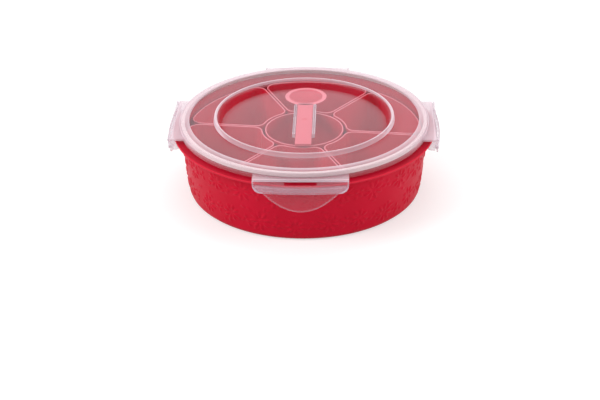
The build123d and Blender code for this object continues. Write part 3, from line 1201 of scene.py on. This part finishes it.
    def rail(self, hand: int) -> list[Patch]:
        """L-section rail under the recess: a wall and a lip, with a sloping nose.

        Args:
            hand: 1 for the rail on the right and -1 for the left one.

        Returns:
            The two closed patches.
        """

        def bar(x_in: float, low: float, high: float) -> Patch:
            """Straight bar out to the rail's outer face, cut back there by the nose, with milky edges painted
            as highlight lines.

            Args:
                x_in: its inner face.
                low: its underside.
                high: its top.

            Returns:
                The closed patch.
            """
            share = np.array([0.0, 0.2, 0.8, 1.0])
            x = hand * (x_in + (self.rail_out_x - x_in) * share)
            near = self.rail_near_y + self.rail_nose * share
            far = np.full(len(share), self.rail_far_y)
            y = np.stack([near, near + self.rail_edge, far - self.rail_edge, far])
            # Painted highlight: the bar's edges are far milkier than its faces.
            haze = np.full(y.shape, self.rail_painted_highlight[0])
            haze[1:-1, 1:-1] = self.rail_painted_highlight[1]
            return slab(net_of(x, y, high), net_of(x, y, low), haze)

        lip_top = self.rail_low_z + self.rail_lip_t
        wall = bar(self.rail_in_x, lip_top, self.recess_z - self.recess_t)
        return [wall, bar(self.rail_lip_x, self.rail_low_z, lip_top)]

    def make(self, clear: ClearPlastic, white: MouldedPlastic) -> list[Piece]:
        """Builds the lid and its seal and puts them in the places of their solids.

        Args:
            clear: the lid's plastic.
            white: the seal's.

        Returns:
            The two pieces.
        """
        patches = [self.shell()] + [self.ledge(side) for side in Side] + self.rail(1) + self.rail(-1)
        lid = build("lid_moulding", patches, clear.material())
        seal = build("seal_band", [self.seal()], white.material())
        for piece, node, slot in ((lid, "lid", "lid_clear"), (seal, "seal_ring", "seal_white")):
            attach(piece, "lid")
            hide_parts(node)
        return [lid, seal]


@dataclass
class Flap:
    """One locking flap with its hinge film, built on the right side and turned to its own."""

    side: Side
    width: float = 82.0
    top_z: float = 65.4
    hinge_u: float = 119.9
    plate_t: float = 1.5
    foot_u: float = 122.9
    foot_z: float = 59.8
    bar_proud: float = 0.8
    bar_inner_u: float = 120.5
    bar_low_z: float = 53.6
    bar_round: float = 8.0
    plan_r: float = 260.0
    hook_r: float = 116.6
    hook_w: float = 78.0
    hook_round: float = 4.0
    hook_top_z: float = 57.3
    hook_lift: float = 0.1
    hook_lap: float = 0.02
    tongue_w: float = 65.0
    tongue_drop: float = 17.0
    tongue_t: float = 1.4
    tongue_back: float = 0.3
    slot_w: float = 27.0
    slot_low_z: float = 61.8
    slot_top_z: float = 64.6
    slot_round: float = 0.5
    cutter_reach: float = 4.0
    ledge_end_u: float = 118.7
    film_t: float = 0.5
    film_hollow: float = 0.12
    plate_haze: float = 0.8
    bar_haze: float = 0.7
    side_painted_highlight: float = 2.2
    tongue_haze: Pair = (0.35, 1.2)
    hook_haze: float = 1.5
    film_haze: float = 0.6
    plate_columns: int = 59
    tongue_columns: int = 73
    hook_rows: int = 4
    hook_columns: int = 27
    tip_columns: int = 7
    film_rows: int = 9
    film_columns: int = 41

    def bend(self, across: Array) -> Array:
        """How far the plan arc falls back at a distance across: R - sqrt(R^2 - t^2)."""
        return self.plan_r - np.sqrt(self.plan_r**2 - across**2)

    def panel(self) -> Patch:
        """Plate and catch bar as one sheet, whose half width narrows to the bar's round corners.

        At height z the half width is w - q + sqrt(q^2 - (c - z)^2) below c = foot + q, and w above. Each row
        is a height and how far its front and back faces are cut back; the bar is milkier, and the sides are
        painted milky white as highlight lines.

        Returns:
            The closed patch.
        """
        top, foot, low = self.top_z, self.foot_z, self.bar_low_z
        rows = [(top, 0.5, 0.0), (top - 0.2, 0.12, 0.0), (top - 0.6, 0.0, 0.0)]
        rows += [(z, 0.0, 0.0) for z in np.linspace(self.slot_top_z, foot + 0.1, 5)]
        rows += [(foot, 0.5, 0.2), (foot - 0.15, 0.15, 0.0), (foot - 0.5, 0.0, 0.0)]
        rows += [(z, 0.0, 0.0) for z in np.linspace(foot - 1.6, low + 1.0, 5)]
        rows += [(low + 0.5, 0.13, 0.0), (low + 0.15, 0.5, 0.1), (low, 1.0, 0.4)]
        z, front_cut, back_cut = (column[:, None] for column in np.array(rows).T)
        thick = z <= foot
        plate_u = self.hinge_u + (self.foot_u - self.plate_t - self.hinge_u) / (top - foot) * (top - z)
        front = np.where(thick, self.foot_u + self.bar_proud, plate_u + self.plate_t) - front_cut
        back = np.where(thick, self.bar_inner_u, plate_u) + back_cut
        drop = np.clip(low + self.bar_round - z, 0, self.bar_round)
        half = self.width / 2 - self.bar_round + np.sqrt(self.bar_round**2 - drop**2)
        share = np.concatenate([[-1.0], np.linspace(-0.99, 0.99, self.plate_columns), [1.0]])
        across = half * share
        fall = np.clip((top - z) / (top - foot), 0, 1) * self.bend(across)
        # Painted highlight: the side edges are much milkier.
        haze = self.plate_haze + self.bar_haze * thick + self.side_painted_highlight * (np.abs(share) > 0.985)
        return slab(net_of(front - fall, across, z), net_of(back - fall, across, z), haze)

    def tongue(self) -> Patch:
        """Finger tongue with a thin raised edge, a parabola in front view; the edge is painted milkier as a
        highlight line.

        Its points are (a p v, top - b p (1 - v^2)), p from 0 at the bar to 1 on the edge and v from 1 to -1.

        Returns:
            The closed patch.
        """
        p = np.array([0.0, 0.3, 0.6, 0.8, 0.9, 0.93, 0.95, 0.97, 0.99, 1.0])[:, None]
        raised = np.array([0.0, 0.0, 0.0, 0.0, 0.0, 0.0, 0.22, 0.28, 0.2, 0.0])[:, None]
        v = np.cos(np.linspace(0, math.pi, self.tongue_columns))
        across = self.tongue_w / 2 * p * v
        z = self.bar_low_z - self.tongue_drop * p * (1 - v**2)
        back = self.bend(across)
        outer = net_of(self.foot_u - self.tongue_back - back + raised, across, z)
        inner = net_of(self.foot_u - self.tongue_t - back + np.where(p > 0.995, 0.25, 0.0), across, z)
        # Painted highlight on the edge; the face is kept clearer as painted shade.
        return slab(outer, inner, np.where(p > 0.94, self.tongue_haze[1], self.tongue_haze[0]))

    def hook(self) -> Patch:
        """Hook in under the lock flange, ending on the circle u = sqrt(R^2 - t^2) with round tips.

        Returns:
            The closed patch.
        """
        q = self.hook_round
        centre_t = self.hook_w / 2 - q
        centre_u = math.sqrt((self.hook_r + q) ** 2 - centre_t**2)
        touch = centre_t * self.hook_r / (self.hook_r + q)
        turn = np.linspace(math.atan2(touch - centre_t, q), math.pi / 2, self.tip_columns)
        end = centre_t + q * np.sin(turn)
        end = np.clip(end, touch, self.hook_w / 2)
        across = np.concatenate([-end[::-1], np.linspace(-touch, touch, self.hook_columns)[1:-1], end])
        round_tip = centre_u - np.sqrt(np.clip(q**2 - (np.abs(across) - centre_t) ** 2, 0, None))
        circle = np.sqrt(self.hook_r**2 - across**2)
        tip = np.where(np.abs(across) > touch + 1e-6, round_tip, circle)
        root = self.bar_inner_u - self.bend(across) + self.hook_lap
        share = np.linspace(0, 1, self.hook_rows)[:, None]
        u = root * (1 - share) + tip * share
        upper = net_of(u, across, self.hook_top_z)
        lower = net_of(u, across, self.bar_low_z + self.hook_lift)
        return slab(upper, lower, self.hook_haze)

    def film(self) -> Patch:
        """Living hinge: a thin web between the ledge and the flap, lower on top by h sin(pi share).

        Returns:
            The closed patch.
        """
        share = np.linspace(0, 1, self.film_rows)[:, None]
        u = self.ledge_end_u + (self.hinge_u - self.ledge_end_u) * share
        across = np.linspace(-self.width / 2, self.width / 2, self.film_columns)
        upper = net_of(u, across, self.top_z - self.film_hollow * np.sin(math.pi * share))
        lower = net_of(u, across, self.top_z - self.film_t)
        return slab(upper, lower, self.film_haze)

    def cut_slot(self, piece: Piece) -> None:
        """Cuts the slot under the hinge through the plate.

        Args:
            piece: the flap's panel.
        """
        ring = rounded_box(self.slot_w / 2, self.slot_low_z, self.slot_top_z, self.slot_round, chords=3)
        ends = np.array([self.hinge_u - self.cutter_reach, self.foot_u + self.cutter_reach])[:, None]
        cutter = build("slot_cutter", [capped(net_of(ends, *ring.T)).turned(self.side.value)])
        cut = piece.modifiers.new("slot", "BOOLEAN")
        cut.operation = "DIFFERENCE"
        cut.object = cutter
        cut.solver = "EXACT"
        bpy.context.view_layer.update()
        depsgraph = bpy.context.evaluated_depsgraph_get()
        mesh = bpy.data.meshes.new_from_object(piece.evaluated_get(depsgraph))
        piece.modifiers.clear()
        piece.data = mesh
        bpy.data.objects.remove(cutter)
        finish_shading(mesh, SHARP_DEGREES)

    def make(self, clear: Material) -> list[Piece]:
        """Builds the flap and its film and puts them in the places of their solids.

        Args:
            clear: their material.

        Returns:
            The three pieces.
        """
        word, turn = self.side.word, self.side.value
        flap = build(word + "_flap_panel", [self.panel().turned(turn)])
        self.cut_slot(flap)
        grip = build(word + "_flap_grip", [self.tongue().turned(turn), self.hook().turned(turn)])
        film = build(word + "_film", [self.film().turned(turn)])
        for piece in (flap, grip, film):
            piece.data.materials.clear()
            piece.data.materials.append(clear)
        for piece in (flap, grip):
            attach(piece, word + "_flap")
        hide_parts(word + "_flap")
        out = Vector((math.cos(math.radians(turn)), math.sin(math.radians(turn)), 0.0)) * MM
        start, end = out * self.ledge_end_u, out * self.hinge_u
        start.z = end.z = self.top_z * MM
        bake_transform(film)
        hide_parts(word + "_hinge_film")
        return [flap, grip, film]


@dataclass
class Studio:
    """Pale floor, soft lamps, white surroundings and the camera.

    Each lamp is its name, its place, the height on the axis that it faces, its side in metres and its watts.
    """

    lamps: Sequence[tuple[str, tuple[float, float, float], float, float, float]] = (
        ("key", (-1.2, -0.5, 1.0), 0.04, 0.8, 11.0),
        ("fill", (1.3, -0.35, 0.8), 0.04, 0.8, 7.0),
        ("top", (0.0, 0.5, 1.3), 0.06, 1.0, 5.0),
    )
    camera_at: tuple[float, float, float] = (0.0365, -1.1628, 0.6151)
    yaw: float = -2.03
    pitch: float = 28.56
    roll: float = -0.72
    focal_px: float = 1403.3
    image_px: float = 600.0
    sensor_mm: float = 36.0
    far_clip_m: float = 20.0
    ambient: float = 0.6
    floor_columns: int = 48

    def camera(self) -> None:
        """Camera along (sin yaw cos pitch, cos yaw cos pitch, -sin pitch), rolled about that line."""
        yaw, pitch, roll = (math.radians(a) for a in (self.yaw, self.pitch, self.roll))
        ahead = math.cos(pitch)
        forward = Vector((math.sin(yaw) * ahead, math.cos(yaw) * ahead, -math.sin(pitch)))
        level = Vector((math.cos(yaw), -math.sin(yaw), 0.0))
        upright = level.cross(forward)
        right = level * math.cos(roll) + upright * math.sin(roll)
        up = upright * math.cos(roll) - level * math.sin(roll)
        data = bpy.data.cameras.new("camera")
        data.sensor_fit = "HORIZONTAL"
        data.sensor_width = self.sensor_mm
        data.lens = self.focal_px / self.image_px * self.sensor_mm
        data.clip_end = self.far_clip_m
        camera = bpy.data.objects.new("camera", data)
        turn = Matrix((right, up, -forward)).transposed()
        camera.matrix_world = Matrix.Translation(Vector(self.camera_at)) @ turn.to_4x4()
        bpy.context.scene.collection.objects.link(camera)
        bpy.context.scene.camera = camera

    def light(self) -> None:
        """Square soft lamps, each turned to a point on the box's axis."""
        for name, at, aim_z, side, power in self.lamps:
            data = bpy.data.lights.new(name, "AREA")
            data.size, data.energy = side, power
            lamp = bpy.data.objects.new(name, data)
            lamp.location = at
            aim = Vector((0.0, 0.0, aim_z)) - Vector(at)
            lamp.rotation_euler = aim.to_track_quat("-Z", "Y").to_euler()
            bpy.context.scene.collection.objects.link(lamp)

    def world(self) -> None:
        """White surroundings: full white to the camera and through clear pieces, softer as light."""
        world = bpy.data.worlds.new("studio")
        bpy.context.scene.world = world
        nodes = Nodes(world)
        rays = nodes.add("LightPath").outputs
        seen = nodes.calc("MAXIMUM", rays["Is Camera Ray"], rays["Is Transmission Ray"])
        strength = nodes.add("MapRange", Value=seen, To_Min=self.ambient, To_Max=1.0).outputs[0]
        back = nodes.add("Background", Color=WHITE, Strength=strength)
        nodes.done(back.outputs[0], "OutputWorld")

    def floor(self) -> None:
        """Round pale floor: its rings, given by their radii in millimetres, all lie at z = 0."""
        radius = np.array([0.0, 150.0, 400.0, 1200.0, 6000.0])[:, None]
        angle = turns(self.floor_columns)
        net = net_of(radius * np.cos(angle), radius * np.sin(angle), 0.0)
        floor = build("floor", [Patch.grid(net, wrap_columns=True)], StudioPaper().material())
        if floor.data.polygons[0].normal.z < 0:
            floor.data.flip_normals()

    def make(self) -> None:
        """Sets up the whole studio."""
        bpy.context.scene.view_settings.view_transform = "Standard"
        self.camera()
        self.world()
        self.floor()
        self.light()


@dataclass
class SpiceBox:
    """The whole object."""

    finishes: Finishes = field(default_factory=Finishes)
    pieces: list[Piece] = field(default_factory=list)

    def make(self) -> None:
        """Builds every sub-assembly and reports its pieces."""
        finish = self.finishes
        self.pieces.append(Bowl().make(finish.bowl))
        self.pieces += Cups().make(finish.cup)
        self.pieces.append(Spoon().make(finish.spoon))
        self.pieces += Lid().make(finish.lid, finish.seal)
        clear = finish.flap.material()
        for side in Side:
            self.pieces += Flap(side).make(clear)
        for piece in self.pieces:
            LOG.info("%s: %d faces", piece.name, len(piece.data.polygons))


def corners(box: Sequence[Sequence[float]]) -> list[list[float]]:
    """A box's two corners as plain numbers."""
    return [[float(v) for v in corner] for corner in box]


def main() -> None:
    """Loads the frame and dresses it."""
    logging.basicConfig(level=logging.INFO, format="%(message)s")
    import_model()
    SpiceBox().make()
    Studio().make()


if __name__ == "__main__":
    main()
